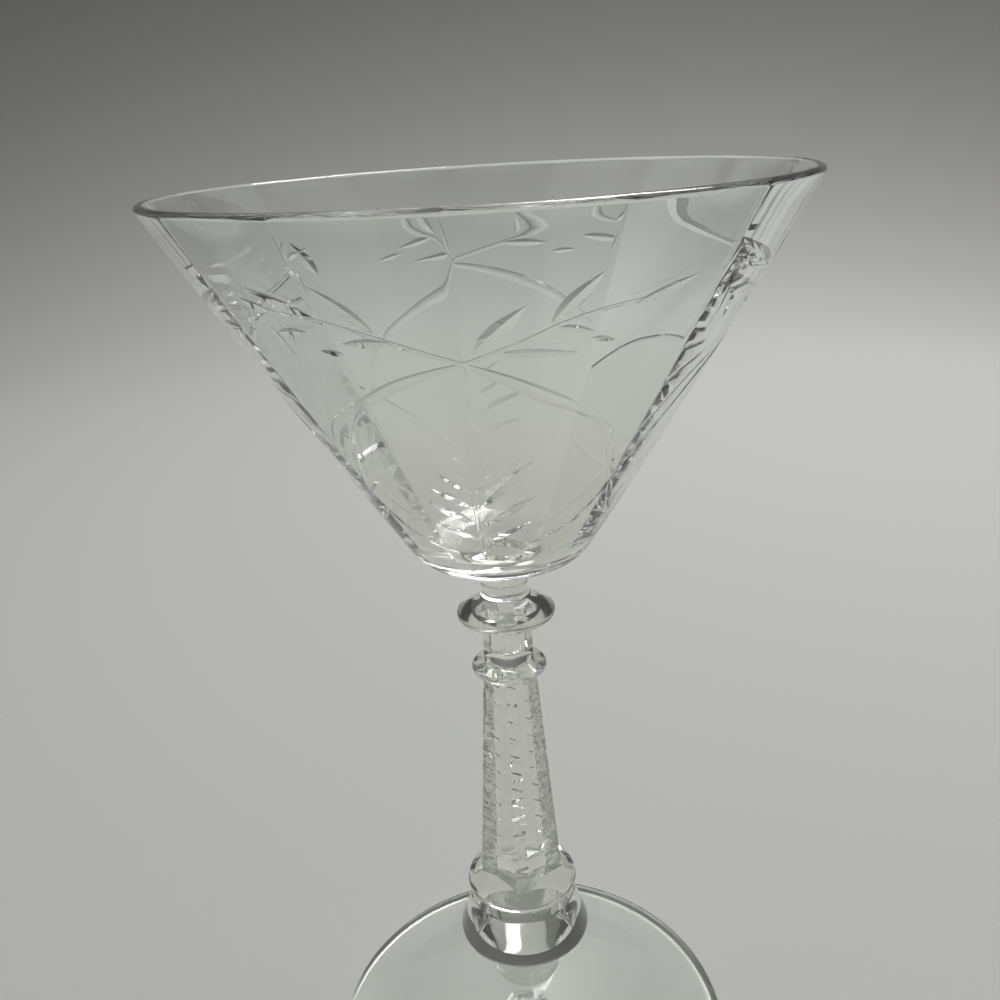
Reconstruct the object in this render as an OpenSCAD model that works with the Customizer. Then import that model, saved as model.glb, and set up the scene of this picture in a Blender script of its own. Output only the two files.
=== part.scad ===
// Flared cocktail glass on a notched square stem, made of five pieces of clear glass joined hot.
// Millimetres, +Z up, origin at the centre of the surface that the foot stands on.

/* [Bowl] */
// Outside diameter of the lip
rim_d = 88; // [76:1:100]
// Height of the bowl from its joint to the lip
bowl_h = 56.5; // [48:0.5:68]
// How far the side swells out from a straight cone, half way up
side_swell = 0.35; // [0:0.05:1]
// Thickness of the lip
lip_wall = 1.2; // [0.8:0.1:1.8]
// Outside diameter of the corner between the side and the underside
heel_d = 25.6; // [22:0.2:32]
// Height of that corner above the joint
heel_h = 3.3; // [2:0.1:4.5]
// Radius that rounds that corner
heel_round = 5; // [1:0.5:7]
// Thickness of the side at the heel
heel_wall = 3; // [2:0.1:3.6]
// Height of the inside floor above the joint
floor_h = 4.8; // [3.6:0.1:7]
// Radius that rounds the inside floor into the side
floor_round = 6; // [2:0.5:7]

/* [Upper merese] */
// Diameter of the round neck under the bowl
round_neck_d = 7.3; // [6:0.1:9]
// Height of the round neck
round_neck_h = 4.3; // [2:0.1:8]
// Radius that blends the round neck into the disc
round_neck_blend = 1; // [0.4:0.1:1.6]
// Diameter of the disc
disc_d = 15.3; // [13:0.1:20]
// Height of the disc
disc_h = 4.5; // [3.6:0.1:6]
// Height of the widest part of the disc above its seat
disc_edge_h = 1.3; // [1:0.1:2.2]
// Radius that rounds the edge of the disc
disc_edge_round = 0.6; // [0.3:0.1:1]
// Diameter of the flat seat under the disc
disc_seat_d = 8.8; // [8.4:0.1:10]

/* [Stem] */
// Size of the square neck, corner to corner
square_neck_d = 7.7; // [6.4:0.1:8.2]
// Height of the square neck
square_neck_h = 7.2; // [4:0.1:10]
// Diameter of the collar
collar_d = 11.9; // [10.8:0.1:15]
// Height of the collar between the corners of the shaft and of the neck
collar_h = 2.6; // [2.2:0.1:4]
// Height of the widest part of the collar above the shaft
collar_edge_h = 1.5; // [1.1:0.1:1.9]
// Radius that rounds the edge of the collar
collar_edge_round = 0.6; // [0.3:0.1:0.9]
// Size of the shaft at its top, corner to corner
shaft_top_d = 8.4; // [7:0.1:9.6]
// Size of the shaft at its base, corner to corner
shaft_base_d = 13.6; // [11:0.1:14.4]
// Height of the shaft
shaft_h = 38.2; // [28:0.2:60]
// Share of its half width by which each corner of the square is cut back flat
corner_trim = 0.16; // [0.06:0.01:0.24]
// Notches cut along the front corner, and as many along the back corner
notch_count = 10; // [4:1:12]
// Height of the lowest notch above the base of the shaft
notch_low_h = 4.4; // [2:0.1:8]
// Distance of the highest notch below the top of the shaft
notch_high_drop = 3.6; // [2:0.1:8]
// Depth of a notch
notch_depth = 0.15; // [0.1:0.05:0.4]
// Height of a notch at the corner
notch_h = 0.9; // [0.5:0.1:1.4]
// Tilt of a notch
notch_tilt = 24; // [0:1:30]
// Diameter of the knop at its belly
knop_d = 18.6; // [17.8:0.1:22]
// Height of the knop where the corners of the shaft meet it
knop_h = 3.7; // [3:0.1:6]
// Height of the belly above the joint
knop_belly_h = 1.75; // [1.2:0.05:2]
// Radius that rounds the belly
knop_round = 0.7; // [0.4:0.05:1.2]

/* [Lower merese] */
// Diameter of the joint under the knop
waist_d = 15.4; // [14.4:0.1:16.2]
// Diameter of the flare's shoulder, just under that joint
shoulder_d = 17.5; // [16.8:0.1:19]
// How far the shoulder lies below the joint
shoulder_drop = 1.1; // [0.7:0.1:1.6]
// Radius that rounds the shoulder
shoulder_round = 1; // [0.3:0.1:1.4]
// Height of the flare from the widest edge up to the joint
flare_h = 8; // [6:0.1:11]
// Diameter of the widest edge
flare_d = 22.1; // [20.4:0.1:26]
// Radius that rounds the widest edge
flare_edge_round = 1; // [0.4:0.1:1.4]
// Height from the bulb up to the widest edge
underside_h = 1.6; // [1:0.1:5]
// Diameter of the bulb
bulb_d = 11.5; // [10:0.1:14]
// Height of the bulb's straight side
bulb_side_h = 8.1; // [4:0.1:10]
// Radius that rounds the bulb into its taper
bulb_round = 4; // [1:0.1:6]
// Height of the taper under the bulb
bulb_taper_h = 7.9; // [5:0.1:10]

/* [Foot] */
// Diameter of the post at its joint
post_d = 5.6; // [5:0.1:8]
// Height of the foot up to that joint
foot_h = 7.4; // [6.8:0.1:10]
// Radius that blends the post into the foot
post_blend = 2.6; // [1:0.1:2.8]
// Height of the foot's upper face at the post
foot_crown_h = 3.8; // [3:0.1:4.2]
// Diameter of the foot
foot_d = 70; // [60:1:84]
// Thickness of the foot at its edge
foot_edge_h = 2.2; // [2:0.1:3]
// Radius that rounds the edge of the foot
foot_edge_round = 0.9; // [0.4:0.1:0.95]
// Diameter of the hollow under the foot
hollow_d = 58; // [30:1:64]
// Depth of the hollow at its centre
hollow_h = 1.2; // [0.4:0.1:1.4]

/* [Hidden] */
$fn = 96;

// Colour of clear glass
glass_tint = [0.84, 0.9, 0.88, 0.5];
// Turn that points the corners of the square stem along the X and Y axes
corner_turn = 45;
// Directions of the two notched corners, back and front
notched_turns = [90, 270];
// Short straight steps in a rounded corner, along the side of the bowl and across the hollow
corner_steps = 6;
side_steps = 12;
hollow_steps = 8;
// Share of the lip's thickness that rounds each of its two edges
lip_share = 0.49;
// How far a cutting tool reaches past the glass
cut_over = 1;

// Heights of the joints above the table
lower_merese_z = foot_h;
stem_z = lower_merese_z + bulb_taper_h + bulb_side_h + underside_h + flare_h;
upper_merese_z = stem_z + knop_h + shaft_h + collar_h + square_neck_h;
bowl_z = upper_merese_z + disc_h + round_neck_h;

// Direction from a to b, and the change of direction at b on the way from a to c
function heading(a, b) = atan2(b.y - a.y, b.x - a.x);
function bend(a, b, c) =
    let (turn = heading(b, c) - heading(a, b))
    turn > 180 ? turn - 360 : turn < -180 ? turn + 360 : turn;

// Points of an arc, on the side of b towards its neighbours a and c, that rounds corner b
function corner_arc(a, b, c, radius) =
    let (
        from = heading(a, b),
        turn = bend(a, b, c),
        reach = radius * tan(abs(turn) / 2),
        start = [b.x - reach * cos(from), b.y - reach * sin(from)],
        out = sign(turn) * radius,
        centre = start + out * [-sin(from), cos(from)]
    )
    [for (i = [0 : corner_steps])
        let (at = from + turn * i / corner_steps)
        centre + out * [sin(at), -cos(at)]];

// Closed outline through corners given as [x, y, radius], where a radius of 0 stays sharp
function rounded(corners) =
    let (n = len(corners))
    [for (i = [0 : n - 1])
        let (
            a = corners[(i + n - 1) % n],
            b = corners[i],
            c = corners[(i + 1) % n]
        )
        each b[2] > 0 ? corner_arc(a, b, c, b[2]) : [[b.x, b.y]]];

// Corners of a round edge that bulges outwards, met by straight lines from a below and to b above
function round_edge(a, centre, radius, b) =
    let (
        from = heading(centre, a) + acos(radius / norm(a - centre)),
        to = heading(centre, b) - acos(radius / norm(b - centre))
    )
    [for (i = [0 : 2 * corner_steps])
        let (at = from + (to - from) * i / (2 * corner_steps))
        [centre.x + radius * cos(at), centre.y + radius * sin(at), 0]];

function sharp(p) = [p.x, p.y, 0];

// Points on the line from a through b, at a distance from the axis and at a height
function at_distance(a, b, x) = [x, a.y + (b.y - a.y) * (x - a.x) / (b.x - a.x)];
function at_height(a, b, y) = [a.x + (b.x - a.x) * (y - a.y) / (b.y - a.y), y];

// A solid of revolution whose outline is given as corners
module turned(corners) {
    rotate_extrude() polygon(rounded(corners));
}

// Side of the bowl, with t from 0 at the heel to 1 at the lip
lip_round = lip_share * lip_wall;
side_slope = atan2(rim_d - heel_d, 2 * (bowl_h - heel_h));
lip_corner_r = rim_d / 2 + lip_round * (tan(side_slope) + 1 / cos(side_slope) - 1);
function side_r(t) =
    heel_d / 2 + (lip_corner_r - heel_d / 2) * t + 4 * side_swell * t * (1 - t);
function side_z(t) = heel_h + (bowl_h - heel_h) * t;
function side_wall(t) = (lip_wall + (heel_wall - lip_wall) * pow(1 - t, 2)) / cos(side_slope);
floor_t = (floor_h - heel_h) / (bowl_h - heel_h);
function inner_t(i) = floor_t + (1 - floor_t) * i / side_steps;

// Blown bowl: a flared cone with a thick floor
module bowl() {
    outside = [for (i = [1 : side_steps - 1])
        let (t = i / side_steps)
        [side_r(t), side_z(t), 0]];
    inside = [for (i = [side_steps - 1 : -1 : 1])
        let (t = inner_t(i))
        [side_r(t) - side_wall(t), side_z(t), 0]];
    color(glass_tint)
    translate([0, 0, bowl_z])
    turned(concat(
        [[0, 0, 0], [round_neck_d / 2, 0, 0], [heel_d / 2, heel_h, heel_round]],
        outside,
        [[lip_corner_r, bowl_h, lip_round], [lip_corner_r - side_wall(1), bowl_h, lip_round]],
        inside,
        [[side_r(floor_t) - side_wall(floor_t), floor_h, floor_round], [0, floor_h, 0]]
    ));
}

// Upper merese: a thin disc with a short round neck that carries the bowl
module upper_merese() {
    seat = [disc_seat_d / 2, 0];
    throat = [round_neck_d / 2, disc_h];
    top_h = disc_h + round_neck_h;
    edge = [disc_d / 2 - disc_edge_round, disc_edge_h];
    color(glass_tint)
    translate([0, 0, upper_merese_z])
    turned(concat(
        [[0, 0, 0], sharp(seat)],
        round_edge(seat, edge, disc_edge_round, throat),
        [[throat.x, throat.y, round_neck_blend], [throat.x, top_h, 0], [0, top_h, 0]]
    ));
}

// Heights in the stem above its joint, and the corners where the shaft meets the knop and the collar
shaft_top_h = knop_h + shaft_h;
collar_top_h = shaft_top_h + collar_h;
collar_edge_z = shaft_top_h + collar_edge_h;
stem_h = collar_top_h + square_neck_h;
shaft_base = [shaft_base_d / 2, knop_h];
shaft_top = [shaft_top_d / 2, shaft_top_h];

// Round knop, whose upper side is a cone that runs on into the shaft
module knop() {
    waist = [waist_d / 2, 0];
    belly = [knop_d / 2 - knop_round, knop_belly_h];
    side = round_edge(waist, belly, knop_round, shaft_base);
    crown = at_distance(side[len(side) - 1], shaft_base, shaft_base.x / 2);
    turned(concat([[0, 0, 0], sharp(waist)], side, [sharp(crown), [0, crown.y, 0]]));
}

// Round collar, whose upper and lower sides are cones that run on into the neck and the shaft
module collar() {
    neck_base = [square_neck_d / 2, collar_top_h];
    edge = [collar_d / 2 - collar_edge_round, collar_edge_z];
    side = round_edge(shaft_top, edge, collar_edge_round, neck_base);
    low = at_distance(side[0], shaft_top, shaft_top.x / 2);
    high = at_distance(side[len(side) - 1], neck_base, neck_base.x / 2);
    turned(concat([[0, low.y, 0], sharp(low)], side, [sharp(high), [0, high.y, 0]]));
}

// Slab with a tapered outline
module tapered_slab(low_w, low_z, high_w, high_z) {
    rotate([90, 0, 0])
    linear_extrude(height = 2 * low_w, center = true)
    polygon([[-low_w / 2, low_z], [low_w / 2, low_z], [high_w / 2, high_z], [-high_w / 2, high_z]]);
}

// Square bar with its corners cut flat, from one size and height to another, sizes corner to corner
module square_bar(low_d, low_z, high_d, high_z) {
    flats = (1 + corner_trim) * sin(corner_turn);
    intersection() {
        rotate(corner_turn) tapered_slab(low_d * flats, low_z, high_d * flats, high_z);
        rotate(corner_turn + 90) tapered_slab(low_d * flats, low_z, high_d * flats, high_z);
        tapered_slab(low_d, low_z, high_d, high_z);
        rotate(90) tapered_slab(low_d, low_z, high_d, high_z);
    }
}

// Wedge that cuts one shallow notch across a corner, at a height above the base of the shaft
module notch_cut(height) {
    middle = shaft_base + (shaft_top - shaft_base) * height / shaft_h;
    reach = notch_depth + cut_over;
    half_h = notch_h / 2 * reach / notch_depth;
    translate([middle.x - notch_depth, 0, middle.y])
    rotate([90 + notch_tilt, 0, 0])
    linear_extrude(height = shaft_base_d, center = true)
    polygon([[0, 0], [reach, half_h], [reach, -half_h]]);
}

// Notched shaft, from the middle of the knop to the middle of the collar
module shaft() {
    low = at_height(shaft_base, shaft_top, knop_belly_h);
    high = at_height(shaft_base, shaft_top, collar_edge_z);
    pitch = (shaft_h - notch_low_h - notch_high_drop) / (notch_count - 1);
    difference() {
        square_bar(2 * low.x, low.y, 2 * high.x, high.y);
        for (turn = notched_turns, i = [0 : notch_count - 1])
            rotate(turn) notch_cut(notch_low_h + pitch * i);
    }
}

// Pressed stem: knop, notched square shaft, round collar and square neck in one piece
module stem() {
    color(glass_tint)
    translate([0, 0, stem_z])
    union() {
        knop();
        shaft();
        collar();
        square_bar(square_neck_d, collar_edge_z - collar_edge_round, square_neck_d, stem_h);
    }
}

// Lower merese: a flare with a wide round edge, and a bulb under it that tapers to the post
module lower_merese() {
    bulb = [bulb_d / 2, bulb_taper_h + bulb_side_h];
    edge = [flare_d / 2 - flare_edge_round, bulb.y + underside_h];
    waist = [waist_d / 2, edge.y + flare_h];
    shoulder = [shoulder_d / 2, waist.y - shoulder_drop];
    color(glass_tint)
    translate([0, 0, lower_merese_z])
    turned(concat(
        [[0, 0, 0], [post_d / 2, 0, 0], [bulb.x, bulb_taper_h, bulb_round]],
        [sharp(bulb)],
        round_edge(bulb, edge, flare_edge_round, shoulder),
        [[shoulder.x, shoulder.y, shoulder_round], sharp(waist), [0, waist.y, 0]]
    ));
}

// Foot: a thin round plate that rises to a post, hollowed underneath inside a flat ring
module foot() {
    hollow_r = hollow_d / 2;
    hollow = [for (i = [0 : hollow_steps])
        let (r = hollow_r * i / hollow_steps)
        [r, hollow_h * (1 - pow(r / hollow_r, 2)), 0]];
    color(glass_tint)
    turned(concat(
        hollow,
        [
            [foot_d / 2, 0, foot_edge_round],
            [foot_d / 2, foot_edge_h, foot_edge_round],
            [post_d / 2, foot_crown_h, post_blend],
            [post_d / 2, foot_h, 0],
            [0, foot_h, 0]
        ]
    ));
}

bowl();
upper_merese();
stem();
lower_merese();
foot();
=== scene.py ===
# Looks of a flared cocktail glass: five pieces of clear glass, joined hot, with cut sprays round the bowl.
# Sizes of the glass and the camera's place are millimetres. Those of the stage and the lamp are metres.
# Angles are written in degrees.
import math

import bmesh
import bpy
import numpy as np
from mathutils import Matrix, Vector
from mathutils.geometry import delaunay_2d_cdt


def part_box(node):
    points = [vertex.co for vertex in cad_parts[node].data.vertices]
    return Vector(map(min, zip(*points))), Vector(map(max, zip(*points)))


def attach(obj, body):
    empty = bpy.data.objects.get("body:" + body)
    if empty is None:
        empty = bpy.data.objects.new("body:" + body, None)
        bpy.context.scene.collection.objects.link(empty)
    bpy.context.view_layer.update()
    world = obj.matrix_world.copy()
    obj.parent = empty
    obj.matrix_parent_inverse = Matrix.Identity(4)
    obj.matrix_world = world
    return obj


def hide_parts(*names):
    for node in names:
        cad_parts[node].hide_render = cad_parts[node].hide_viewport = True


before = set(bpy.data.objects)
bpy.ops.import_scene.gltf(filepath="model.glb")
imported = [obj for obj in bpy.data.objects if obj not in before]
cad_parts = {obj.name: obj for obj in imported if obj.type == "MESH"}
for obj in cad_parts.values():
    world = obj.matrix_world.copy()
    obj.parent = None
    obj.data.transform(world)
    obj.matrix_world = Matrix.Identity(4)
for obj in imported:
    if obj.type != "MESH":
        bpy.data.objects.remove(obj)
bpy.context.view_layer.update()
MM = 0.001
FULL_TURN = 360


# Heights of the joints and the widest reach of each piece, from the frame. The lip stays just inside it.
def bottom(node):
    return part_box(node)[0].z / MM


def top(node):
    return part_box(node)[1].z / MM


def half_width(node):
    low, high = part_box(node)
    return (high.x - low.x) / 2 / MM


BOWL_Z = bottom("bowl")
BOWL_H = top("bowl") - BOWL_Z
LIP_CLEAR = 0.03
RIM_R = half_width("bowl") - LIP_CLEAR
UPPER_Z = bottom("upper_merese")
UPPER_H = BOWL_Z - UPPER_Z
STEM_Z = bottom("stem")
STEM_H = UPPER_Z - STEM_Z
LOWER_Z = bottom("lower_merese")
LOWER_H = STEM_Z - LOWER_Z
FOOT_H = LOWER_Z
FOOT_R = half_width("foot")

# Bowl
SIDE_SWELL = 0.35
LIP_WALL = 1.2
LIP_SHARE = 0.49
LIP_ROUND = LIP_SHARE * LIP_WALL
HEEL_R = 12.8
HEEL_H = 3.3
HEEL_ROUND = 5
HEEL_WALL = 3
FLOOR_H = 4.8
FLOOR_ROUND = 6

# Panels moulded into the inside of the bowl, with one edge turned from the front, that fade in from the heel
PANEL_COUNT = 15
PANEL_EDGE = -5
PANEL_RISE = 0.5
PANEL_FADE = 0.3

# Upper merese
NECK_R = 3.65
NECK_BLEND = 1
DISC_H = 4.5
DISC_R = half_width("upper_merese")
DISC_EDGE_H = 1.3
DISC_EDGE_ROUND = 0.6
DISC_SEAT_R = 4.4

# Stem
NECK_CORNER_R = 3.85
COLLAR_R = 5.95
COLLAR_H = 2.6
COLLAR_EDGE_H = 1.5
COLLAR_EDGE_ROUND = 0.6
SHAFT_TOP_R = 4.2
SHAFT_BASE_R = 6.8
SHAFT_H = 38.2
CORNERS = 4
CORNER_TRIM = 0.16
NOTCH_COUNT = 10
NOTCH_LOW_H = 4.4
NOTCH_HIGH_DROP = 3.6
NOTCH_DEPTH = 0.15
NOTCH_H = 0.9
NOTCH_TILT = math.radians(24)
KNOP_R = half_width("stem")
KNOP_H = 3.7
KNOP_BELLY_H = 1.75
KNOP_ROUND = 0.7

# Lower merese
WAIST_R = 7.7
SHOULDER_R = 8.75
SHOULDER_DROP = 1.1
SHOULDER_ROUND = 1
FLARE_H = 8
FLARE_R = half_width("lower_merese")
FLARE_EDGE_ROUND = 1
UNDERSIDE_H = 1.6
BULB_R = 5.75
BULB_SIDE_H = 8.1
BULB_ROUND = 4
BULB_TAPER_H = LOWER_H - FLARE_H - UNDERSIDE_H - BULB_SIDE_H

# Foot
POST_R = 2.8
POST_BLEND = 2.6
FOOT_CROWN_H = 3.8
FOOT_EDGE_H = 2.2
FOOT_EDGE_ROUND = 0.9
HOLLOW_R = 29
HOLLOW_H = 1.2

# Fineness of the meshes
ARC_STEP = math.radians(6)
LONGEST_RUN = 1.5
TURNED_COLUMNS = 256
BOWL_COLUMNS = 480
SIDE_ROW = 1.0
CORNER_COLUMNS = 12
SIDE_COLUMNS = 10
MIDDLE_COLUMNS = 24
HOLLOW_STEPS = 24
NOTCH_ROWS = 9
ROW_H = 0.9
CLOSEST_ROWS = 0.02
JOIN_ROWS = 18
INNER_ROWS = 36
SHARP_ANGLE = math.radians(9)


# Outlines, as points (distance from the axis, height)
def heading(a, b):
    return math.atan2(b[1] - a[1], b[0] - a[0])


def arc(centre, radius, start, turn):
    """Points of an arc from the angle start through turn."""
    steps = max(2, math.ceil(abs(turn) / ARC_STEP))
    angles = [start + turn * i / steps for i in range(steps + 1)]
    return [(centre[0] + radius * math.cos(a), centre[1] + radius * math.sin(a)) for a in angles]


def corner_arc(a, b, c, radius):
    """Points of the arc that rounds corner b on the way from a to c."""
    ahead = heading(a, b)
    turn = (heading(b, c) - ahead + math.pi) % math.tau - math.pi
    reach = radius * math.tan(abs(turn) / 2)
    side = math.copysign(math.pi / 2, turn)
    centre_x = b[0] - reach * math.cos(ahead) + radius * math.cos(ahead + side)
    centre_y = b[1] - reach * math.sin(ahead) + radius * math.sin(ahead + side)
    return arc((centre_x, centre_y), radius, ahead - side, turn)


def rounded(corners):
    """An open outline through corners (r, z) or (r, z, radius). One with no radius stays sharp."""
    points = []
    for i, corner in enumerate(corners):
        if len(corner) == 3:
            points += corner_arc(corners[i - 1], corner, corners[i + 1], corner[2])
        else:
            points.append(tuple(corner))
    return points


def round_edge(a, centre, radius, b):
    """An edge that bulges outwards, met by straight lines from a below and to b above."""
    start = heading(centre, a) + math.acos(radius / math.dist(a, centre))
    end = heading(centre, b) - math.acos(radius / math.dist(b, centre))
    return arc(centre, radius, start, end - start)


def filled(points, longest=LONGEST_RUN):
    """The outline with extra points along its long straight runs."""
    result = [points[0]]
    for a, b in zip(points, points[1:]):
        steps = max(1, math.ceil(math.dist(a, b) / longest))
        result += [tuple(np.add(a, np.subtract(b, a) * i / steps)) for i in range(1, steps + 1)]
    return result


# Material slots of the pieces, of which the last is for faces that are cut, or ground and painted darker as
# shade
GLASS, SEAM, WORKED_OR_SHADED = range(3)


# Meshes
def even_angles(columns):
    return np.arange(columns) * math.tau / columns


def ring(radius, height, angles):
    """A closed ring of points, whose radius may change from column to column."""
    radii = np.broadcast_to(radius, angles.shape)
    return np.stack([radii * np.cos(angles), radii * np.sin(angles), np.full_like(radii, height)], axis=1)


def band_faces(lower, upper):
    """Four-sided faces between two rings of point numbers."""
    return [
        (int(lower[j - 1]), int(lower[j]), int(upper[j]), int(upper[j - 1]))
        for j in range(len(lower))
    ]


def fan_faces(centre, outline):
    return [(centre, int(outline[j - 1]), int(outline[j])) for j in range(len(outline))]


def even_facing(mesh):
    """Turns all the faces the same way."""
    work = bmesh.new()
    work.from_mesh(mesh)
    bmesh.ops.recalc_face_normals(work, faces=work.faces)
    work.to_mesh(mesh)
    work.free()


def glass_piece(name, points, faces, slots, worked_or_shaded=None):
    """A closed piece of glass that stands for the CAD node of its name. Points are millimetres."""
    mesh = bpy.data.meshes.new(name)
    mesh.from_pydata((np.asarray(points) * MM).tolist(), [], faces)
    for material in (clear_glass, fused_joint, worked_or_shaded):
        if material:
            mesh.materials.append(material)
    mesh.polygons.foreach_set("material_index", np.asarray(slots, np.int32))
    even_facing(mesh)
    mesh.shade_smooth()
    mesh.set_sharp_from_angle(angle=SHARP_ANGLE)
    piece = bpy.data.objects.new(name + "_glass", mesh)
    bpy.context.scene.collection.objects.link(piece)
    normals = piece.modifiers.new("even_normals", "WEIGHTED_NORMAL")
    normals.keep_sharp = True
    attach(piece, "root")
    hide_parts(name)
    return piece


def lofted(name, rings, low_joint, high_joint, finish_and_shade=GLASS, worked_or_shaded=None):
    """A piece whose surface runs through rings from the bottom up, with its ends closed by fans.

    The finish_and_shade is the material slot of its faces, for all of them or face by face; on the stem some
    of these slots mark faces painted darker as shade.
    """
    rings = np.asarray(rings)
    rows, columns = rings.shape[:2]
    centres = [rings[0].mean(axis=0), rings[-1].mean(axis=0)]
    points = np.concatenate([rings.reshape(-1, 3), centres])
    numbers = np.arange(rows * columns).reshape(rows, columns)
    faces = []
    for lower, upper in zip(numbers, numbers[1:]):
        faces += band_faces(lower, upper)
    slots = np.broadcast_to(finish_and_shade, (rows - 1, columns)).ravel().tolist()
    for centre, outline, joint in (
        (rows * columns, numbers[0], low_joint),
        (rows * columns + 1, numbers[-1], high_joint),
    ):
        faces += fan_faces(centre, outline)
        slots += [SEAM if joint else GLASS] * columns
    return glass_piece(name, points, faces, slots, worked_or_shaded)


def turned(name, outline, base, low_joint, high_joint, angles=even_angles(TURNED_COLUMNS)):
    """A piece turned about the axis, from an outline that leaves out the points on the axis."""
    rings = [ring(r, base + z, angles) for r, z in outline]
    return lofted(name, rings, low_joint, high_joint)


# Materials. Scales of the noise are repeats in a metre, and tints go by the height above the table.
THICK_TINT = (0.95, 0.957, 0.915, 1)
THIN_TINT = (0.985, 0.992, 0.982, 1)
# Painted shade: the ground side corners of the shaft get a grey tint that stands for the dark bands at the
# stem's sides, and it grows darker towards the bottom
GROUND_FACE_PAINTED_SHADE = (0.42, 0.425, 0.4, 1)
NO_TINT = (1, 1, 1, 1)
TINT_TOP = 150
TINTS = [(8, THIN_TINT), (20, THICK_TINT), (100, THICK_TINT), (125, THIN_TINT)]
GROUND_FACE_PAINTED_SHADE_FADE = [(0, GROUND_FACE_PAINTED_SHADE), (TINT_TOP, NO_TINT)]
GLASS_IOR = 1.52
NOISE_RANGE = (0.45, 0.8)
WAVE_DETAIL = 1
CLEAR_ROUGHNESS = (0, 0.03)
SMUDGE_SCALE = 90
STRIAE_SCALE = 70
STRIAE_STRETCH = (1, 1, 0.35)
STRIAE_HEIGHT = 0.04
CUT_ROUGHNESS = (0.04, 0.16)
CUT_GRAIN_SCALE = 900
CUT_GRAIN_STRETCH = (1, 1, 1)
CUT_GRAIN_HEIGHT = 0.01
GROUND_ROUGHNESS = (0.05, 0.5)
GROUND_SCALE = 420
GROUND_STRETCH = (0.7, 0.7, 2)
GROUND_HEIGHT = 1.2


def new_material(name):
    material = bpy.data.materials.new(name)
    material.use_nodes = True
    return material, material.node_tree.nodes, material.node_tree.links


# Sockets of a Mix node that mixes colours
MIX_FACTOR, MIX_FIRST, MIX_SECOND = 0, 6, 7
MIX_RESULT = 2


def faded_colour(nodes, links, value, start, end, first, second):
    """A colour that turns smoothly from the first to the second while the value goes from start to end."""
    fade = nodes.new("ShaderNodeMapRange")
    fade.interpolation_type = "SMOOTHSTEP"
    fade.inputs["From Min"].default_value = start
    fade.inputs["From Max"].default_value = end
    links.new(value, fade.inputs["Value"])
    tone = nodes.new("ShaderNodeMix")
    tone.data_type = "RGBA"
    tone.inputs[MIX_FIRST].default_value = first
    tone.inputs[MIX_SECOND].default_value = second
    links.new(fade.outputs["Result"], tone.inputs[MIX_FACTOR])
    return tone.outputs[MIX_RESULT]


def glass_material(name, tints, roughness, rough_scale, bump_scale, stretch, bump_height):
    """Glass with a tint that changes with height, and with roughness and fine waves from noise. On the
    ground faces the tint is painted shade, greyer towards the bottom.
    """
    material, nodes, links = new_material(name)
    shader = nodes["Principled BSDF"]
    shader.inputs["Transmission Weight"].default_value = 1
    shader.inputs["IOR"].default_value = GLASS_IOR
    place = nodes.new("ShaderNodeTexCoord")
    parts = nodes.new("ShaderNodeSeparateXYZ")
    links.new(place.outputs["Object"], parts.inputs["Vector"])
    share = nodes.new("ShaderNodeMapRange")
    share.inputs["From Max"].default_value = TINT_TOP * MM
    links.new(parts.outputs["Z"], share.inputs["Value"])
    tint = nodes.new("ShaderNodeValToRGB")
    stops = tint.color_ramp.elements
    while len(stops) < len(tints):
        stops.new(1)
    for stop, (height, colour) in zip(stops, tints):
        stop.position = height / TINT_TOP
        stop.color = colour
    links.new(share.outputs["Result"], tint.inputs["Fac"])
    links.new(tint.outputs["Color"], shader.inputs["Base Color"])
    smudge = nodes.new("ShaderNodeTexNoise")
    smudge.inputs["Scale"].default_value = rough_scale
    links.new(place.outputs["Object"], smudge.inputs["Vector"])
    spread = nodes.new("ShaderNodeMapRange")
    spread.inputs["From Min"].default_value = NOISE_RANGE[0]
    spread.inputs["From Max"].default_value = NOISE_RANGE[1]
    spread.inputs["To Min"].default_value = roughness[0]
    spread.inputs["To Max"].default_value = roughness[1]
    links.new(smudge.outputs["Fac"], spread.inputs["Value"])
    links.new(spread.outputs["Result"], shader.inputs["Roughness"])
    stretched = nodes.new("ShaderNodeMapping")
    stretched.inputs["Scale"].default_value = stretch
    links.new(place.outputs["Object"], stretched.inputs["Vector"])
    waves = nodes.new("ShaderNodeTexNoise")
    waves.inputs["Scale"].default_value = bump_scale
    waves.inputs["Detail"].default_value = WAVE_DETAIL
    links.new(stretched.outputs["Vector"], waves.inputs["Vector"])
    bump = nodes.new("ShaderNodeBump")
    bump.inputs["Distance"].default_value = bump_height * MM
    links.new(waves.outputs["Fac"], bump.inputs["Height"])
    links.new(bump.outputs["Normal"], shader.inputs["Normal"])
    return material


def joint_material():
    """Hot joints have no surface of their own inside the glass, so nothing shows there."""
    material, nodes, links = new_material("fused_joint")
    nodes.remove(nodes["Principled BSDF"])
    clear = nodes.new("ShaderNodeBsdfTransparent")
    links.new(clear.outputs["BSDF"], nodes["Material Output"].inputs["Surface"])
    return material


clear_glass = glass_material(
    "clear_glass", TINTS, CLEAR_ROUGHNESS, SMUDGE_SCALE,
    STRIAE_SCALE, STRIAE_STRETCH, STRIAE_HEIGHT,
)
cut_glass = glass_material(
    "cut_glass", TINTS, CUT_ROUGHNESS, SMUDGE_SCALE,
    CUT_GRAIN_SCALE, CUT_GRAIN_STRETCH, CUT_GRAIN_HEIGHT,
)
# Glass for the ground side corners of the shaft: its roughness and waves are the grinding, and its grey tint
# is painted shade
ground_glass_painted_shade = glass_material(
    "ground_glass_painted_shade", GROUND_FACE_PAINTED_SHADE_FADE, GROUND_ROUGHNESS, GROUND_SCALE,
    GROUND_SCALE, GROUND_STRETCH, GROUND_HEIGHT,
)
fused_joint = joint_material()


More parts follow.
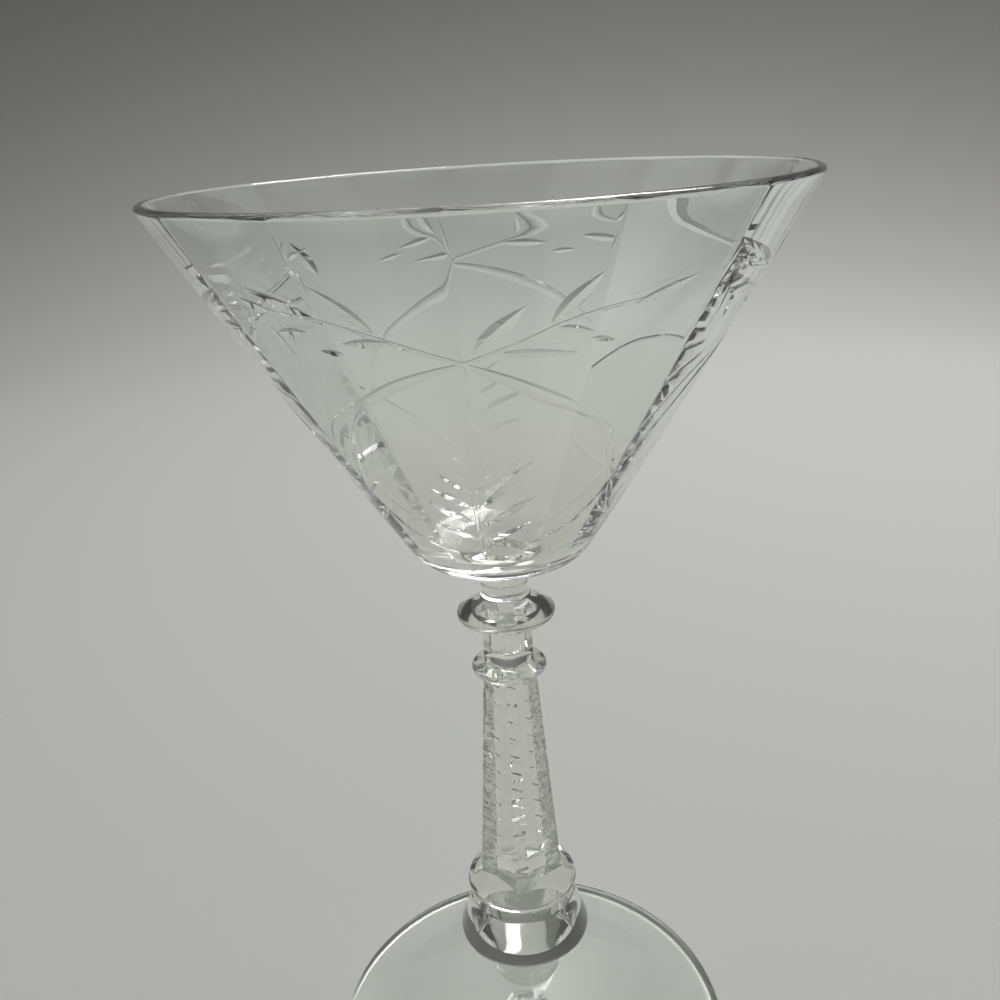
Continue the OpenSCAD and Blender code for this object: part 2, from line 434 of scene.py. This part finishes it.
# Foot: a thin plate, hollowed underneath inside a flat ring, that rises to a post
def make_foot():
    hollow = [
        (HOLLOW_R * i / HOLLOW_STEPS, HOLLOW_H * (1 - (i / HOLLOW_STEPS) ** 2))
        for i in range(1, HOLLOW_STEPS)
    ]
    plate = rounded([
        (HOLLOW_R, 0),
        (FOOT_R, 0, FOOT_EDGE_ROUND),
        (FOOT_R, FOOT_EDGE_H, FOOT_EDGE_ROUND),
        (POST_R, FOOT_CROWN_H, POST_BLEND),
        (POST_R, FOOT_H),
    ])
    return turned("foot", filled(hollow + plate), 0, False, True)


# Lower merese: a flare with a wide round edge over a bulb that tapers to the post
def make_lower_merese():
    bulb_top = (BULB_R, BULB_TAPER_H + BULB_SIDE_H)
    edge = (FLARE_R - FLARE_EDGE_ROUND, bulb_top[1] + UNDERSIDE_H)
    shoulder = (SHOULDER_R, LOWER_H - SHOULDER_DROP)
    waist = (WAIST_R, LOWER_H)
    bulb = rounded([(POST_R, 0), (BULB_R, BULB_TAPER_H, BULB_ROUND), bulb_top])
    flare = round_edge(bulb_top, edge, FLARE_EDGE_ROUND, shoulder)
    outline = bulb + flare + corner_arc(flare[-1], shoulder, waist, SHOULDER_ROUND) + [waist]
    return turned("lower_merese", filled(outline), LOWER_Z, True, True)


# Stem: a round knop and collar, with a notched square shaft and a square neck, corners cut flat
SHAFT_TOP_Z = KNOP_H + SHAFT_H
COLLAR_TOP_Z = SHAFT_TOP_Z + COLLAR_H
COLLAR_EDGE_Z = SHAFT_TOP_Z + COLLAR_EDGE_H
SHAFT_BASE = (SHAFT_BASE_R, KNOP_H)
SHAFT_TOP = (SHAFT_TOP_R, SHAFT_TOP_Z)
NECK_BASE = (NECK_CORNER_R, COLLAR_TOP_Z)
FLAT_TURN = math.pi / CORNERS
FLATS = (1 + CORNER_TRIM) * math.cos(FLAT_TURN)
TILT_FADE = 2.5
LEAST_MIDDLE = math.radians(4)
LEAST_SIDE = LEAST_MIDDLE / 4
# Corners are numbered from the right, over the back
NOTCHED = (1, 3)
# The side corners, right and left, are ground and painted darker as shade
GROUND_SHADED_CORNERS = (0, 2)


def run_on(a, b, radius):
    """The point at this distance from the axis on the line from a through b."""
    return radius, a[1] + (b[1] - a[1]) * (radius - a[0]) / (b[0] - a[0])


def knop_outline():
    waist = (WAIST_R, 0)
    belly = (KNOP_R - KNOP_ROUND, KNOP_BELLY_H)
    side = round_edge(waist, belly, KNOP_ROUND, SHAFT_BASE)
    return [waist] + side + [run_on(side[-1], SHAFT_BASE, SHAFT_BASE_R / 2)]


def collar_outline():
    edge = (COLLAR_R - COLLAR_EDGE_ROUND, COLLAR_EDGE_Z)
    side = round_edge(SHAFT_TOP, edge, COLLAR_EDGE_ROUND, NECK_BASE)
    low = run_on(side[0], SHAFT_TOP, SHAFT_TOP_R / 2)
    return [low] + side + [run_on(side[-1], NECK_BASE, NECK_CORNER_R / 2)]


KNOP_LINE = np.array(knop_outline())
COLLAR_LINE = np.array(collar_outline())


def bead_r(height):
    """Radius of the round knop and collar, and nothing between them."""
    return sum(np.interp(height, line[:, 1], line[:, 0], 0, 0) for line in (KNOP_LINE, COLLAR_LINE))


def corner_r(height):
    """Distance from the axis to the flats across the corners of the shaft and of the neck."""
    share = (height - KNOP_H) / SHAFT_H
    shaft = SHAFT_BASE_R + (SHAFT_TOP_R - SHAFT_BASE_R) * share
    return np.where(height < COLLAR_EDGE_Z, shaft, NECK_CORNER_R)


NOTCH_MIDDLES = np.linspace(KNOP_H + NOTCH_LOW_H, SHAFT_TOP_Z - NOTCH_HIGH_DROP, NOTCH_COUNT)


def notch_depth(height):
    """Depth of the notches below the flats across the corners."""
    away = min(abs(height - middle) for middle in NOTCH_MIDDLES)
    return NOTCH_DEPTH * max(0, 1 - away / (NOTCH_H / 2))


def stem_section(height):
    """For each column: angle, turn from the nearest corner, half that flat's turn, and notch depth."""
    outer = corner_r(height)
    bead = bead_r(height)
    depths = [notch_depth(height) if i in NOTCHED else 0 for i in range(CORNERS)]
    halves = [math.atan2(outer * CORNER_TRIM + depth, outer - depth) for depth in depths]
    middle = math.acos(min(1, outer * FLATS / bead)) if bead > 0 else 0
    middle = min(max(middle, LEAST_MIDDLE), FLAT_TURN - max(halves) - LEAST_SIDE)
    columns = []
    for i in range(CORNERS):
        here, after = halves[i], halves[(i + 1) % CORNERS]
        stops = (-here, here, FLAT_TURN - middle, FLAT_TURN + middle, 2 * FLAT_TURN - after)
        counts = (CORNER_COLUMNS, SIDE_COLUMNS, MIDDLE_COLUMNS, SIDE_COLUMNS)
        for a, b, count in zip(stops, stops[1:], counts):
            for turn in np.linspace(a, b, count, endpoint=False):
                near = i if turn < FLAT_TURN else (i + 1) % CORNERS
                from_corner = turn if turn < FLAT_TURN else turn - 2 * FLAT_TURN
                columns.append((turn + 2 * FLAT_TURN * i, from_corner, halves[near], depths[near]))
    return np.array(columns).T


def stem_ring(height):
    """Points round the stem at a height above its joint. Across a corner the row tilts with the notches."""
    angles, turn, half, depth = stem_section(height)
    off_flat = np.sign(turn) * (FLAT_TURN - np.abs(turn)) / (FLAT_TURN - half)
    across = np.where(np.abs(turn) < half, turn / half, off_flat)
    inside = min(height - KNOP_H, SHAFT_TOP_Z - height)
    tilt = np.clip(inside / TILT_FADE, 0, 1) * math.tan(NOTCH_TILT)
    level = height + across * tilt * CORNER_TRIM * corner_r(height)
    flat = corner_r(level)
    corners = (flat - depth) / np.cos(turn)
    sides = flat * FLATS / np.cos(FLAT_TURN - np.abs(turn))
    radii = np.maximum(bead_r(level), np.minimum(corners, sides))
    return np.stack([radii * np.cos(angles), radii * np.sin(angles), STEM_Z + level], axis=1)


def stem_heights():
    """Heights of the rows, closer together in the notches and where the beads meet the square."""
    rows = np.arange(KNOP_H, STEM_H, ROW_H).tolist()
    rows += [z + step * NOTCH_H / 2 for z in NOTCH_MIDDLES for step in np.linspace(-1, 1, NOTCH_ROWS)]
    rows += KNOP_LINE[:-1, 1].tolist() + COLLAR_LINE[1:-1, 1].tolist()
    joins = ((SHAFT_BASE, KNOP_LINE[-2:]), (SHAFT_TOP, COLLAR_LINE[:2]), (NECK_BASE, COLLAR_LINE[-2:]))
    for end, line in joins:
        low = run_on(line[0], line[1], end[0] * FLATS)[1]
        high = run_on(line[0], line[1], end[0] * (1 + CORNER_TRIM))[1]
        rows += np.linspace(low, high, JOIN_ROWS).tolist()
    kept = [0]
    for z in sorted(rows):
        if z - kept[-1] > CLOSEST_ROWS and STEM_H - z > CLOSEST_ROWS:
            kept.append(z)
    return kept + [STEM_H]


def stem_finish_and_shade(heights):
    """Slots of the stem's faces: the shaft is ground, and painted darker as shade, on and beside its side
    corners, clear of the beads.
    """
    columns = len(stem_section(STEM_H)[0])
    finish_and_shade = np.full((len(heights) - 1, columns), GLASS)
    middles = np.add(heights[:-1], heights[1:]) / 2
    bare = np.array([bead_r(height) < corner_r(height) for height in middles])
    shaft = bare & (middles < SHAFT_TOP_Z)
    reach = np.arange(1 - SIDE_COLUMNS, CORNER_COLUMNS + SIDE_COLUMNS + 1)
    for corner in GROUND_SHADED_CORNERS:
        beside = (corner * columns // CORNERS + reach) % columns
        # These faces take the ground glass with its painted shade
        finish_and_shade[np.ix_(shaft, beside)] = WORKED_OR_SHADED
    return finish_and_shade


def make_stem():
    heights = stem_heights()
    rings = [stem_ring(height) for height in heights]
    return lofted("stem", rings, True, True, stem_finish_and_shade(heights), ground_glass_painted_shade)


# Upper merese: a thin disc with a short round neck, fused to the square neck only where the two meet
def make_upper_merese():
    angles = stem_section(STEM_H)[0]
    square = np.hypot(*stem_ring(STEM_H)[:, :2].T)
    seat = (DISC_SEAT_R, 0)
    throat = (NECK_R, DISC_H)
    edge = (DISC_R - DISC_EDGE_ROUND, DISC_EDGE_H)
    disc = round_edge(seat, edge, DISC_EDGE_ROUND, throat)
    neck = corner_arc(disc[-1], throat, (NECK_R, UPPER_H), NECK_BLEND)
    outline = filled([seat] + disc + neck + [(NECK_R, UPPER_H)])
    return turned("upper_merese", [(square, 0)] + outline, UPPER_Z, True, True, angles)


# Side of the bowl, with t from 0 at the heel to 1 at the lip
SIDE_H = BOWL_H - HEEL_H
SIDE_SLOPE = math.atan2(RIM_R - HEEL_R, SIDE_H)
LIP_CORNER_R = RIM_R + LIP_ROUND * (math.tan(SIDE_SLOPE) + 1 / math.cos(SIDE_SLOPE) - 1)
SIDE_L = math.hypot(LIP_CORNER_R - HEEL_R, SIDE_H)
RISE = SIDE_H / SIDE_L
FLOOR_CENTRE_R = FLOOR_ROUND / 4
# Share of the side where the cut sheet starts and ends
PATCH_FROM = 0.045
PATCH_TO = 0.97


def side_r(t):
    return HEEL_R + (LIP_CORNER_R - HEEL_R) * t + 4 * SIDE_SWELL * t * (1 - t)


def side_z(t):
    return HEEL_H + SIDE_H * t


def side_t(height):
    """Place along the side of a height above the table."""
    return (height - BOWL_Z - HEEL_H) / SIDE_H


def side_wall(t):
    return (LIP_WALL + (HEEL_WALL - LIP_WALL) * (1 - t) ** 2) / math.cos(SIDE_SLOPE)


def side_points(angle, t, depth):
    """Points on the outside of the bowl, sunk by depth square to the surface."""
    run = LIP_CORNER_R - HEEL_R + 4 * SIDE_SWELL * (1 - 2 * t)
    length = np.hypot(run, SIDE_H)
    r = side_r(t) - depth * SIDE_H / length
    z = BOWL_Z + side_z(t) + depth * run / length
    return np.stack([r * np.cos(angle), r * np.sin(angle), z], axis=1)


# Cut decoration, in degrees round the bowl from the middle of a motif and height above the table.
# The motif repeats round the bowl, and its sprays cross those of its neighbours near the heel.
MOTIF_TURNS = (-5, 86, 184, 264)
MOTIF_LIFTS = (0, 0.5, 1.6, -0.4)
FRONT_TURN = -90
LEAF_SLOPE = 0.3
LEAF_STEPS = 14
LEAF_FULLNESS = 0.85
SPRAY_SLOPE = 0.2
SPRAY_STEP = 0.8
SPRAY_LINES = (-1, -0.5, 0, 0.5, 1)
LEAF_LINES = (-1, 0, 1)
CLEARANCE = 0.4
LEAST_WIDTH = 1e-6
# The side is unrolled at one radius into a flat sheet, which starts and ends at the angle of its edge
UNROLL_R = 30
SHEET_EDGE = 62
MERGE_WITHIN = 1e-5

# Long sprays: angle, height and half the width of the cut
SPRAY_RIGHT = [
    (-75, 104, 0.25), (-68, 104.7, 0.45), (-55, 107.3, 0.5), (-43, 114.5, 0.48), (-32, 123, 0.5),
    (-25, 126.8, 0.75), (-15, 130, 0.85), (-6, 132, 0.6), (0, 133, 0.36), (10, 135.2, 0.34),
    (17, 137.1, 0.32), (24, 138.3, 0.3), (31, 138.9, 0.2),
]
SPRAY_LEFT = [
    (75, 103.6, 0.25), (68, 104.3, 0.45), (55, 107, 0.5), (44, 113.5, 0.5), (33, 122.2, 0.5),
    (23, 126, 0.75), (16, 128, 1.1), (8, 130.6, 0.85), (0, 133, 0.36), (-8, 134.9, 0.36),
    (-15, 136.6, 0.34), (-24, 138.4, 0.3), (-33, 139.2, 0.2),
]
FERN_STEM = [(-3, 103.6, 0.15), (-3.2, 108, 0.32), (-3, 112, 0.28), (-3, 116.2, 0.1)]

# Leaves: base, tip and half the width
LEAVES = [
    ((2, 134.3), (11, 139.6), 1.1),
    ((15, 137.2), (22.5, 142.6), 1.1),
    ((6, 134.2), (21, 133.4), 0.7),
    ((16, 136.8), (23, 135.8), 0.55),
    ((22.5, 135), (27.5, 134.4), 0.45),
    ((29, 138.3), (41, 140.8), 0.75),
    ((-14, 137), (-22.5, 142.5), 1.0),
    ((-11, 135.8), (-21, 135.7), 0.75),
    ((-21.5, 134.2), (-26.5, 134.7), 0.5),
    ((-24, 138.6), (-36, 142), 0.8),
    ((-27, 136.8), (-35, 136.5), 0.75),
    ((-33, 139.2), (-42, 140.6), 0.65),
    ((-36, 137.6), (-34, 133.2), 0.55),
    ((-41, 136.3), (-39, 142), 0.7),
    ((-4, 114.2), (-12, 117.4), 0.45),
    ((-2, 114.2), (4, 117.8), 0.45),
    ((-4, 111.6), (-16, 115), 0.7),
    ((-2, 111.4), (15, 119), 1.1),
    ((-4, 108.6), (-20, 112.8), 0.9),
    ((-2, 108.2), (17, 113), 1),
    ((-4, 105.6), (-19, 108.6), 0.75),
    ((-2, 105.4), (17, 108.6), 0.75),
]


class Cut:
    """A groove cut by a wheel: a line with a half width along it, and the lines that its mesh follows."""

    def __init__(self, middle, slope, lines, hollow):
        self.angle, self.height, self.width = np.asarray(middle, float).T
        self.slope = slope
        self.lines = lines
        self.hollow = hollow

    def line(self, share):
        """Angles and heights of the line that runs at this share of the half width beside the middle."""
        radius = side_r(side_t(self.height))
        along = np.gradient(np.radians(self.angle)) * radius
        up = np.gradient(self.height) / RISE
        length = np.hypot(along, up)
        offset = share * self.width
        angle = self.angle - np.degrees(offset * up / length / radius)
        return angle, self.height + offset * along / length * RISE

    def reach(self, angle, height):
        """How far inside the groove's edge each point lies, and the half width there."""
        best = np.full(angle.shape, -np.inf)
        width = np.full(angle.shape, 1.0)
        middle = self.angle.mean()
        angle = (angle - middle + FULL_TURN / 2) % FULL_TURN - FULL_TURN / 2 + middle
        margin = self.width.max() + CLEARANCE
        radius = side_r(side_t(height))
        spare = np.degrees(margin / radius)
        near = (angle > self.angle.min() - spare) & (angle < self.angle.max() + spare)
        near &= (height > self.height.min() - margin) & (height < self.height.max() + margin)
        angle, height, radius = angle[near], height[near], radius[near]
        found, found_width = best[near], width[near]
        for i in range(len(self.angle) - 1):
            x = np.radians(angle - self.angle[i]) * radius
            y = (height - self.height[i]) / RISE
            run = np.radians(self.angle[i + 1] - self.angle[i]) * radius
            up = (self.height[i + 1] - self.height[i]) / RISE
            share = np.clip((x * run + y * up) / (run ** 2 + up ** 2), 0, 1)
            wide = self.width[i] + share * (self.width[i + 1] - self.width[i])
            inside = wide - np.hypot(x - share * run, y - share * up)
            better = inside > found
            found = np.where(better, inside, found)
            found_width = np.where(better, wide, found_width)
        best[near] = found
        width[near] = found_width
        return best, np.maximum(width, LEAST_WIDTH)

    def depth(self, angle, height):
        inside, width = self.reach(angle, height)
        share = np.clip(inside / width, 0, 1)
        if self.hollow:
            share = 1 - (1 - share) ** 2
        return self.slope * width * share


def smooth_line(points, step):
    """A Catmull-Rom curve through given points, with a point about every step millimetres."""
    points = np.asarray(points, float)
    padded = np.concatenate([[2 * points[0] - points[1]], points, [2 * points[-1] - points[-2]]])
    result = [points[0]]
    for a, b, c, d in zip(padded, padded[1:], padded[2:], padded[3:]):
        run = np.radians(c[0] - b[0]) * side_r(side_t(b[1]))
        steps = max(1, math.ceil(math.hypot(run, (c[1] - b[1]) / RISE) / step))
        for i in range(1, steps + 1):
            u = i / steps
            bend = (2 * a - 5 * b + 4 * c - d) * u ** 2 + (3 * b - 3 * c + d - a) * u ** 3
            result.append(b + 0.5 * ((c - a) * u + bend))
    return np.asarray(result)


def leaf_line(base, tip, width):
    """Middle line of a leaf, whose half width swells from nothing and back."""
    u = (1 - np.cos(np.linspace(0, math.pi, LEAF_STEPS))) / 2
    line = np.outer(1 - u, base) + np.outer(u, tip)
    swell = width * np.sin(math.pi * u ** LEAF_FULLNESS)
    return np.column_stack([line, np.maximum(swell, 0)])


def decoration():
    """All the grooves, with each motif set a little off its place, as work by hand is."""
    cuts = []
    for turn, lift in zip(MOTIF_TURNS, MOTIF_LIFTS):
        place = np.array([FRONT_TURN + turn, lift, 0])
        for spray in (SPRAY_RIGHT, SPRAY_LEFT, FERN_STEM):
            cuts.append(Cut(smooth_line(spray, SPRAY_STEP) + place, SPRAY_SLOPE, SPRAY_LINES, True))
        for leaf in LEAVES:
            cuts.append(Cut(leaf_line(*leaf) + place, LEAF_SLOPE, LEAF_LINES, False))
    return cuts


def greatest_depth(cuts, angle, height):
    depth = np.zeros(angle.shape)
    for cut in cuts:
        depth = np.maximum(depth, cut.depth(angle, height))
    return depth


def near_cut(cuts, angle, height):
    near = np.zeros(angle.shape, bool)
    for cut in cuts:
        near |= cut.reach(angle, height)[0] > -CLEARANCE
    return near


class Sheet:
    """The outside of the bowl unrolled, as points and lines for a triangulation that keeps the lines."""

    def __init__(self):
        self.points = []
        self.edges = []

    def add(self, angle, height):
        """Adds points, given in degrees from the sheet's left edge, and returns their numbers."""
        start = len(self.points)
        across = np.radians(np.asarray(angle, float)) * UNROLL_R
        up = side_t(np.asarray(height, float)) * SIDE_L
        self.points += list(zip(across.tolist(), up.tolist()))
        return list(range(start, len(self.points)))

    def join(self, numbers):
        self.edges += list(zip(numbers, numbers[1:]))


def split_at_edges(angle, height):
    """Pieces of a line that stay within one turn of the sheet, and the heights at which it was cut."""
    pieces = []
    crossings = []
    turn = math.floor(angle[0] / FULL_TURN)
    current = [(angle[0] - FULL_TURN * turn, height[0])]
    for i in range(1, len(angle)):
        next_turn = math.floor(angle[i] / FULL_TURN)
        if next_turn != turn:
            edge = FULL_TURN * max(turn, next_turn)
            share = (edge - angle[i - 1]) / (angle[i] - angle[i - 1])
            level = height[i - 1] + share * (height[i] - height[i - 1])
            crossings.append(level)
            current.append((edge - FULL_TURN * turn, level))
            pieces.append(current)
            current = [(edge - FULL_TURN * next_turn, level)]
            turn = next_turn
        current.append((angle[i] - FULL_TURN * turn, height[i]))
    pieces.append(current)
    return pieces, crossings


def cut_side(cuts):
    """The cut outside of the bowl: points, triangles, which of these lie in grooves, and the end rows."""
    low, high = (BOWL_Z + side_z(t) for t in (PATCH_FROM, PATCH_TO))
    columns = np.arange(BOWL_COLUMNS + 1) * FULL_TURN / BOWL_COLUMNS
    rows = np.linspace(low, high, math.ceil((high - low) / RISE / SIDE_ROW))
    lines = []
    levels = []
    for cut in cuts:
        for share in cut.lines:
            angle, height = cut.line(share)
            pieces, crossings = split_at_edges(angle - SHEET_EDGE, height)
            lines += pieces
            levels += crossings
    spare_rows = [z for z in rows[1:-1] if all(abs(z - level) > CLEARANCE for level in levels)]
    levels = sorted(set(levels) | set(spare_rows))
    sheet = Sheet()
    first = sheet.add(columns, np.full(columns.shape, low))
    last = sheet.add(columns, np.full(columns.shape, high))
    left = sheet.add(np.zeros(len(levels)), levels)
    right = sheet.add(np.full(len(levels), FULL_TURN), levels)
    sheet.join(first)
    sheet.join(last)
    sheet.join([first[0]] + left + [last[0]])
    sheet.join([first[-1]] + right + [last[-1]])
    grid_angle, grid_height = (g.ravel() for g in np.meshgrid(columns[1:-1], rows[1:-1]))
    free = ~near_cut(cuts, grid_angle + SHEET_EDGE, grid_height)
    sheet.add(grid_angle[free], grid_height[free])
    for line in lines:
        sheet.join(sheet.add(*zip(*line)))
    flat, _, triangles, sources, _, _ = delaunay_2d_cdt(sheet.points, sheet.edges, [], 0, MERGE_WITHIN)
    made = np.zeros(len(sheet.points), int)
    for number, origins in enumerate(sources):
        made[origins] = number
    weld = np.arange(len(flat))
    weld[made[right]] = made[left]
    weld[made[[first[-1], last[-1]]]] = made[[first[0], last[0]]]
    across, up = np.asarray([tuple(p) for p in flat]).T
    angle = np.degrees(across / UNROLL_R) + SHEET_EDGE
    t = up / SIDE_L
    height = BOWL_Z + side_z(t)
    points = side_points(np.radians(angle), t, greatest_depth(cuts, angle, height))
    faces = weld[np.asarray(triangles)]
    corners = np.asarray(triangles)
    in_cut = greatest_depth(cuts, angle[corners].mean(axis=1), height[corners].mean(axis=1)) > 0
    return points, faces, in_cut, weld[made[first]][:-1], weld[made[last]][:-1]


# Bowl: a flared cone with a thick floor, cut outside and panelled inside
def panel_rise(angles):
    """Share of the panels' rise at each angle: none along their edges and all of it in their middles."""
    across = (np.degrees(angles) - PANEL_EDGE - FRONT_TURN) / FULL_TURN * PANEL_COUNT % 1
    return 1 - (2 * across - 1) ** 2


def panel_weight(r, z):
    """How much of the panels' rise a point of the lip or of the inside takes."""
    lip_share = np.clip((RIM_R - r) / side_wall(1), 0, 1)
    inside = z < BOWL_H - 2 * LIP_ROUND
    t = (z - HEEL_H) / SIDE_H
    return (1 if inside else lip_share) * np.clip(t / PANEL_FADE, 0, 1) * r / RIM_R


def bowl_base_outline():
    """From the joint round the heel to the start of the side."""
    start = (side_r(PATCH_FROM), side_z(PATCH_FROM))
    return filled(rounded([(NECK_R, 0), (HEEL_R, HEEL_H, HEEL_ROUND), start]))


def bowl_inside_outline():
    """From the end of the side over the lip and down to the middle of the floor."""
    floor_t = (FLOOR_H - HEEL_H) / SIDE_H
    inner = [floor_t + (1 - floor_t) * i / INNER_ROWS for i in range(INNER_ROWS - 1, 1, -1)]
    floor_edge = (side_r(floor_t) - side_wall(floor_t), FLOOR_H, FLOOR_ROUND)
    lip_inner = (LIP_CORNER_R - side_wall(1), BOWL_H, LIP_ROUND)
    corners = [(side_r(PATCH_TO), side_z(PATCH_TO)), (LIP_CORNER_R, BOWL_H, LIP_ROUND), lip_inner]
    above = [t for t in inner if side_z(t) > FLOOR_H + FLOOR_ROUND / 2]
    corners += [(side_r(t) - side_wall(t), side_z(t)) for t in above]
    return rounded(corners + [floor_edge, (FLOOR_CENTRE_R, FLOOR_H)])


def make_bowl():
    side, triangles, in_cut, first_row, last_row = cut_side(decoration())
    angles = np.radians(SHEET_EDGE) + even_angles(BOWL_COLUMNS)
    rise = PANEL_RISE * panel_rise(angles)
    base = [ring(r, BOWL_Z + z, angles) for r, z in bowl_base_outline()[:-1]]
    inside = [ring(r - rise * panel_weight(r, z), BOWL_Z + z, angles) for r, z in bowl_inside_outline()[1:]]
    points = np.concatenate([side] + base + inside + [[(0, 0, BOWL_Z), (0, 0, BOWL_Z + FLOOR_H)]])
    numbers = np.arange(len(side), len(points) - 2).reshape(-1, BOWL_COLUMNS)
    base_rows = list(numbers[:len(base)]) + [first_row]
    inside_rows = [last_row] + list(numbers[len(base):])
    faces = triangles.tolist()
    slots = np.where(in_cut, WORKED_OR_SHADED, GLASS).tolist()
    for rows in (base_rows, inside_rows):
        for lower, upper in zip(rows, rows[1:]):
            faces += band_faces(lower, upper)
    faces += fan_faces(len(points) - 1, inside_rows[-1])
    slots += [GLASS] * (len(faces) - len(slots))
    faces += fan_faces(len(points) - 2, base_rows[0])
    slots += [SEAM] * BOWL_COLUMNS
    return glass_piece("bowl", points, faces, slots, cut_glass)


make_foot()
make_lower_merese()
make_stem()
make_upper_merese()
make_bowl()

# Camera, fitted to the ellipses of the lip and the foot
CAMERA_AT = (0, -139.08, 157.41)
CAMERA_PITCH = 20.932
CAMERA_YAW = 0.047
CAMERA_ROLL = 3.503
CAMERA_LENS = 36
SENSOR_W = 36
CLIP_START = 1


def make_camera():
    data = bpy.data.cameras.new("camera")
    data.sensor_width = SENSOR_W
    data.lens = CAMERA_LENS
    data.clip_start = CLIP_START * MM
    camera = bpy.data.objects.new("camera", data)
    bpy.context.scene.collection.objects.link(camera)
    turn = Matrix.Rotation(math.radians(-CAMERA_YAW), 4, "Z")
    tilt = Matrix.Rotation(math.radians(90 - CAMERA_PITCH), 4, "X")
    roll = Matrix.Rotation(math.radians(-CAMERA_ROLL), 4, "Z")
    place = Matrix.Translation([c * MM for c in CAMERA_AT])
    camera.matrix_world = place @ turn @ tilt @ roll
    bpy.context.scene.camera = camera


# Stage: a pale floor that sweeps up into a round backdrop, with a pool of light painted round the glass and
# painted shade that darkens it far from the glass
STAGE_R = 0.95
STAGE_H = 0.7
STAGE_ROUND = 0.35
STAGE_DROP = 0.00005
STAGE_COLUMNS = 128
STAGE_ROUGHNESS = 0.9
FLOOR_RINGS = (STAGE_R / 8, STAGE_R / 3)
# Painted light: the floor and backdrop are painted pale in a pool round this point, and they fade to painted
# shade far from it
LIGHT_POOL_AT = (0, 0.3, 0)
LIGHT_POOL_FROM = 0.3
LIGHT_POOL_TO = 0.9
PALE = (0.525, 0.53, 0.51, 1)
FAR_PAINTED_SHADE = (0.12, 0.12, 0.12, 1)


def stage_material():
    material, nodes, links = new_material("stage")
    shader = nodes["Principled BSDF"]
    shader.inputs["Roughness"].default_value = STAGE_ROUGHNESS
    shader.inputs["Specular IOR Level"].default_value = 0
    place = nodes.new("ShaderNodeNewGeometry")
    away = nodes.new("ShaderNodeVectorMath")
    away.operation = "DISTANCE"
    away.inputs[1].default_value = LIGHT_POOL_AT
    links.new(place.outputs["Position"], away.inputs[0])
    # Painted pool of light and painted shade, by distance from the pool's middle
    tone = faded_colour(nodes, links, away.outputs["Value"], LIGHT_POOL_FROM, LIGHT_POOL_TO, PALE, FAR_PAINTED_SHADE)
    links.new(tone, shader.inputs["Base Color"])
    return material


def make_stage():
    wall = arc((STAGE_R - STAGE_ROUND, STAGE_ROUND), STAGE_ROUND, -math.pi / 2, math.pi / 2)
    outline = [(r, 0) for r in FLOOR_RINGS] + wall + [(STAGE_R, STAGE_H)]
    angles = even_angles(STAGE_COLUMNS)
    points = np.concatenate([ring(r, z - STAGE_DROP, angles) for r, z in outline] + [[(0, 0, -STAGE_DROP)]])
    rows = np.arange(len(points) - 1).reshape(-1, STAGE_COLUMNS)
    faces = fan_faces(len(points) - 1, rows[0])
    for lower, upper in zip(rows, rows[1:]):
        faces += band_faces(lower, upper)
    mesh = bpy.data.meshes.new("stage")
    mesh.from_pydata(points.tolist(), [], faces)
    even_facing(mesh)
    mesh.materials.append(stage_material())
    mesh.shade_smooth()
    stage = bpy.data.objects.new("stage", mesh)
    bpy.context.scene.collection.objects.link(stage)


# Lamp: a soft box above and behind the glass, turned to a point on the floor
LAMP_AT = (0.3, 0.47, 0.97)
LAMP_AIM = (0, 0.2, 0)
LAMP_LENGTH = 0.5
LAMP_WIDTH = 0.4
LAMP_POWER = 8.4


def make_lamp():
    data = bpy.data.lights.new("key", "AREA")
    data.shape = "RECTANGLE"
    data.size = LAMP_LENGTH
    data.size_y = LAMP_WIDTH
    data.energy = LAMP_POWER
    lamp = bpy.data.objects.new("key", data)
    bpy.context.scene.collection.objects.link(lamp)
    across, along, up = np.subtract(LAMP_AIM, LAMP_AT)
    lamp.location = LAMP_AT
    lamp.rotation_euler = (math.atan2(math.hypot(across, along), -up), 0, math.atan2(-across, along))


# Sky: dark in front of the glass and pale behind it, which gives the glass its dark and pale edges
SKY_FRONT = (0.04, 0.04, 0.04, 1)
SKY_BACK = (0.46, 0.465, 0.455, 1)
SKY_TURN = (-0.7, -0.2)


def make_sky():
    world = bpy.data.worlds.new("sky")
    world.use_nodes = True
    nodes = world.node_tree.nodes
    links = world.node_tree.links
    place = nodes.new("ShaderNodeTexCoord")
    parts = nodes.new("ShaderNodeSeparateXYZ")
    links.new(place.outputs["Generated"], parts.inputs["Vector"])
    tone = faded_colour(nodes, links, parts.outputs["Y"], *SKY_TURN, SKY_FRONT, SKY_BACK)
    links.new(tone, nodes["Background"].inputs["Color"])
    bpy.context.scene.world = world


make_camera()
make_stage()
make_lamp()
make_sky()

# Light passes many faces on its way through the stem
LIGHT_BOUNCES = 32
scene = bpy.context.scene
scene.cycles.max_bounces = LIGHT_BOUNCES
scene.cycles.glossy_bounces = LIGHT_BOUNCES
scene.cycles.transmission_bounces = LIGHT_BOUNCES
scene.cycles.transparent_max_bounces = LIGHT_BOUNCES
scene.cycles.blur_glossy = 0
scene.view_settings.view_transform = "Standard"
